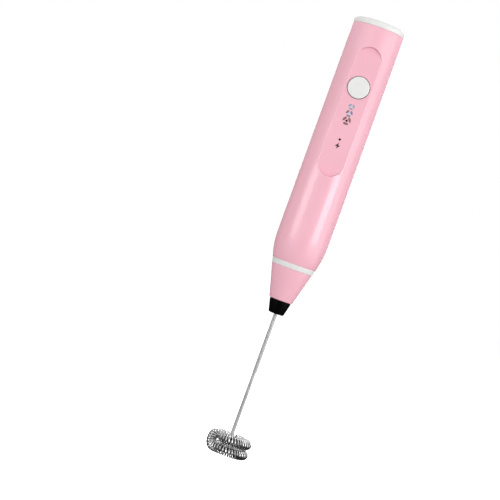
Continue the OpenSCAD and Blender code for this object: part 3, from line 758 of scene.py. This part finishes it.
bolt = np.array([(0.45, 2.0), (-1.4, -0.4), (-0.2, -0.3), (-0.45, -2.0), (1.4, 0.4), (0.2, 0.3)])
bolt_z = light_z[3] - 3.6
piece("charging_mark", [plate(rounded(bolt, 0.08, 4) + [0, bolt_z])], "handle", bolt_ink,
      fills=ink_faces)


# %% [markdown]
# ## Finishes inside the handle
#
# These pieces show only where the whisk is pulled off or the handle is opened up, yet each has the finish of
# the real thing: a lacquered board with tracks, copper windings, sintered bushes, stacked sheets.

# %% Inner finishes
def plain_metal(name, light, dark, roughness, scale=900, along=None):
    """Metal with a fine, slightly uneven surface."""
    f = Finish(name, Metallic=1.0)
    fine = f.noise(1 if along else scale, 4, 0.6, f.stretch(along) if along else None)
    f.feed("Base Color", f.mix(f.smooth(fine, 0.3, 0.7), dark, light))
    f.feed("Roughness", roughness + fine * 0.15)
    f.bump(fine, 0.1, 0.0001)
    return f.material


def matt(name, light, dark, roughness, scale=500, height=0.15):
    """Rubber, matt plastic or sintered stone: broad colour drift and a fine grain."""
    f = Finish(name)
    grain = f.noise(scale, 4, 0.6)
    f.feed("Base Color", f.mix(f.smooth(grain * 0.5 + f.noise(120, 2) * 0.5, 0.3, 0.7), dark, light))
    f.feed("Roughness", roughness + grain * 0.1)
    f.bump(grain, height, 0.0002)
    return f.material


def banded(name, light, dark, metal, period, roughness):
    """Turns of wire or stacked sheets: bands across Z, as a sine of the height."""
    f = Finish(name, Metallic=metal)
    height = f.add("ShaderNodeSeparateXYZ", {}, {0: f.place}, "Z")
    turns = height * (2 * math.pi / (period / 1000))
    wave = f.add("ShaderNodeMath", {"operation": "SINE"}, {0: turns}) * 0.5 + 0.5
    fine = f.noise(700, 3)
    f.feed("Base Color", f.mix(wave * 0.8 + fine * 0.2, dark, light))
    f.feed("Roughness", roughness + fine * 0.1)
    f.bump(wave, 0.5, 0.0001)
    return f.material


def board_lacquer(name):
    """Green lacquer over copper tracks: cells of a brick pattern, narrow and lighter along their joints."""
    f = Finish(name, Coat_Weight=0.4)
    inputs = {"Vector": f.add("ShaderNodeMapping", {}, {"Vector": f.place, "Rotation": (math.pi / 2, 0, 0)}),
              "Color1": (*srgb("0f4a2a"), 1), "Color2": (*srgb("125733"), 1), "Mortar": (*srgb("2f8a55"), 1),
              "Scale": 260.0, "Mortar Size": 0.035}
    tracks = f.add("ShaderNodeTexBrick", {"offset": 0.37, "squash": 1.4}, inputs, "Color")
    f.feed("Base Color", f.mix(f.noise(300, 2) * 0.3, tracks, srgb("0c3d22")))
    f.feed("Roughness", 0.3 + f.noise(500, 2) * 0.15)
    return f.material


finishes = {
    "black_rubber": matt("black_rubber", srgb("2a2a2b"), srgb("1d1d1e"), 0.62),
    "bronze": plain_metal("bronze", srgb("b98a58"), srgb("94683c"), 0.36),
    "brass_tab": plain_metal("brass_tab", srgb("d9b46a"), srgb("b98f45"), 0.24),
    "copper": banded("copper_winding", srgb("c87b45"), srgb("7c3f1d"), 0.9, 0.3, 0.28),
    "frame_plastic": matt("frame_plastic", srgb("dedcd6"), srgb("cfccc4"), 0.5),
    "cell_wrap": moulded("cell_wrap", srgb("2f66ae"), srgb("27579a"), 0.24),
    "plated_steel": plain_metal("plated_steel", srgb("cfcfd0"), srgb("adadb0"), 0.22),
    "lead_insulation": matt("lead_insulation", srgb("a3201f"), srgb("7f1514"), 0.4),
    "board_laminate": board_lacquer("board_laminate"),
    "chip_black": matt("chip_black", srgb("242426"), srgb("171719"), 0.45),
    "led_resin": lens("led_resin", srgb("efefe2"), 0),
    "magnet": matt("magnet", srgb("3d3d40"), srgb("2d2d30"), 0.6, 900),
    "ground_steel": plain_metal("ground_steel", srgb("d0d0d2"), srgb("b2b2b5"), 0.16, along=(200, 200, 9000)),
    "lamination_steel": banded("lamination_steel", srgb("9a9a9e"), srgb("5d5d61"), 0.9, 0.5, 0.34),
    "lit_lens": lit_lens,
    "dark_lens": dark_lens,
    "pink_shell": pink,
    "white_trim": white,
    "black_gloss": black,
    "rod_steel": rod_steel,
    "coil_steel": coil_steel,
}
slot_of = {part["node"]: part["material_slot"] for part in frame["record"]["subparts"]}
for name, node in frame["nodes"].items():
    node.data.materials.clear()
    node.data.materials.append(finishes[slot_of[name]])
print("finished", len(frame["nodes"]), "CAD nodes")

# %% [markdown]
# ## Stage, light and camera
#
# The frother hangs whisk down over a white floor. Two strip lights stand in front of it, to the left and
# right, and on a round barrel each one becomes a narrow upright highlight. Four large softboxes do the rest:
# one at the right, one at the left, one above and one behind, which lights the back. The surroundings are
# darker below than above, most of all in reflections, and that gives the steel its dark edges. The camera looks
# straight at the button's face and is rolled, so that the cap leans to the upper right.

# %% Floor and surroundings
def white_floor():
    """A round floor, slightly dished at its edge so that it has no hard end."""
    floor_r, flat_r, floor_z, dish = 6000, 3000, -330, 0.00001
    r = np.linspace(0, floor_r, 40)
    a = np.arange(64) * 2 * np.pi / 64
    z = floor_z + dish * np.maximum(r - flat_r, 0) ** 2
    points = np.stack([r[:, None] * np.cos(a), r[:, None] * np.sin(a), z[:, None] + 0 * a], -1) / 1000
    mesh = bpy.data.meshes.new("floor")
    mesh.from_pydata(points.reshape(-1, 3).tolist(), [], grid_faces(len(r), len(a)).tolist())
    mesh.shade_smooth()
    floor = bpy.data.objects.new("floor", mesh)
    bpy.context.scene.collection.objects.link(floor)
    paper = Finish("floor_paper", Roughness=0.8, Emission_Strength=0.55, Emission_Color=(1, 1, 1, 1))
    paper.feed("Base Color", paper.mix(paper.noise(4, 3), srgb("fafafa"), srgb("f6f6f6")))
    floor.data.materials.append(paper.material)
    floor.visible_diffuse = False
    floor.visible_glossy = False


white_floor()
world = bpy.data.worlds.new("studio")
bpy.context.scene.world = world
world.use_nodes = True
tree = world.node_tree
seen = tree.nodes["Background"]
seen.inputs["Color"].default_value = (1, 1, 1, 1)
seen.inputs["Strength"].default_value = 1.0
around = tree.nodes.new("ShaderNodeBackground")
around.inputs["Color"].default_value = (1.0, 0.99, 0.98, 1)
around.inputs["Strength"].default_value = 1.0
rays = tree.nodes.new("ShaderNodeLightPath")
look = tree.nodes.new("ShaderNodeTexCoord")
split = tree.nodes.new("ShaderNodeSeparateXYZ")
tree.links.new(look.outputs["Generated"], split.inputs[0])


def sky_strength(low, high, dark, pale):
    """Brightness that goes from dark to pale as the direction's height goes from low to high, smoothly."""
    rise = tree.nodes.new("ShaderNodeMapRange")
    rise.interpolation_type = "SMOOTHSTEP"
    for socket, value in [("From Min", low), ("From Max", high), ("To Min", dark), ("To Max", pale)]:
        rise.inputs[socket].default_value = value
    tree.links.new(split.outputs["Z"], rise.inputs["Value"])
    return rise.outputs[0]


pick = tree.nodes.new("ShaderNodeMix")
tree.links.new(rays.outputs["Is Glossy Ray"], pick.inputs[0])
tree.links.new(sky_strength(-0.3, 0.4, 0.55, 0.72), pick.inputs[2])
tree.links.new(sky_strength(-0.15, 0.4, 0.05, 0.75), pick.inputs[3])
tree.links.new(pick.outputs[0], around.inputs["Strength"])
chooser = tree.nodes.new("ShaderNodeMixShader")
tree.links.new(rays.outputs["Is Camera Ray"], chooser.inputs[0])
tree.links.new(around.outputs[0], chooser.inputs[1])
tree.links.new(seen.outputs[0], chooser.inputs[2])
tree.links.new(chooser.outputs[0], tree.nodes["World Output"].inputs["Surface"])
bpy.context.scene.view_settings.view_transform = "Standard"


# %% Lights
def softbox(name, place, aim, width, height, power):
    """A rectangular light at a place, turned towards a point, both in metres."""
    data = bpy.data.lights.new(name, "AREA")
    data.shape, data.size, data.size_y, data.energy = "RECTANGLE", width, height, power
    lamp = bpy.data.objects.new(name, data)
    bpy.context.scene.collection.objects.link(lamp)
    direction = np.array(aim) - np.array(place)
    back = -direction / np.linalg.norm(direction)
    right = np.cross([0.0, 0.0, 1.0], back)
    right /= np.linalg.norm(right)
    matrix = np.eye(4)
    matrix[:3, 0], matrix[:3, 1], matrix[:3, 2], matrix[:3, 3] = right, np.cross(back, right), back, place
    lamp.matrix_world = matrix.T
    return lamp


strip_turn, strip_distance = math.radians(49), 0.72
strip_low, strip_high = -0.064, 0.05
for name, sign, power in [("strip_right", 1, 0.80), ("strip_left", -1, 0.58)]:
    z = (strip_low + strip_high) / 2
    place = (sign * strip_distance * math.sin(strip_turn), -strip_distance * math.cos(strip_turn), z)
    softbox(name, place, (0, 0, z), 0.36, strip_high - strip_low, power)
softbox("key_right", (1.7, -0.9, 0.05), (0, 0, -0.06), 2.4, 1.6, 18.5)
softbox("fill_left", (-1.2, -1.2, 0.05), (0, 0, -0.06), 2.0, 1.6, 8)
softbox("overhead", (0.1, 0.2, 1.6), (0, 0, 0), 1.4, 1.4, 1.5)
softbox("back", (0.2, 2.0, 0.4), (0, 0, -0.06), 1.5, 1.5, 14)
print("two strips and four softboxes")

# %% Camera
axis_offset = -0.0257
aim_z, eye_z = -0.0776, -0.0639
distance, lean = 0.894, math.radians(19.95)
camera_data = bpy.data.cameras.new("camera")
camera_data.sensor_width, camera_data.lens = 36, 115
camera_data.clip_start, camera_data.clip_end = 0.05, 30
camera = bpy.data.objects.new("camera", camera_data)
bpy.context.scene.collection.objects.link(camera)
eye = np.array([axis_offset, -distance, eye_z])
back = eye - np.array([axis_offset, 0.0, aim_z])
back /= np.linalg.norm(back)
up = np.array([-math.sin(lean), 0.0, math.cos(lean)])
up -= (up @ back) * back
up /= np.linalg.norm(up)
pose = np.eye(4)
pose[:3, 0], pose[:3, 1], pose[:3, 2], pose[:3, 3] = np.cross(up, back), up, back, eye
camera.matrix_world = pose.T
bpy.context.scene.camera = camera
print("camera at", eye.round(4).tolist())
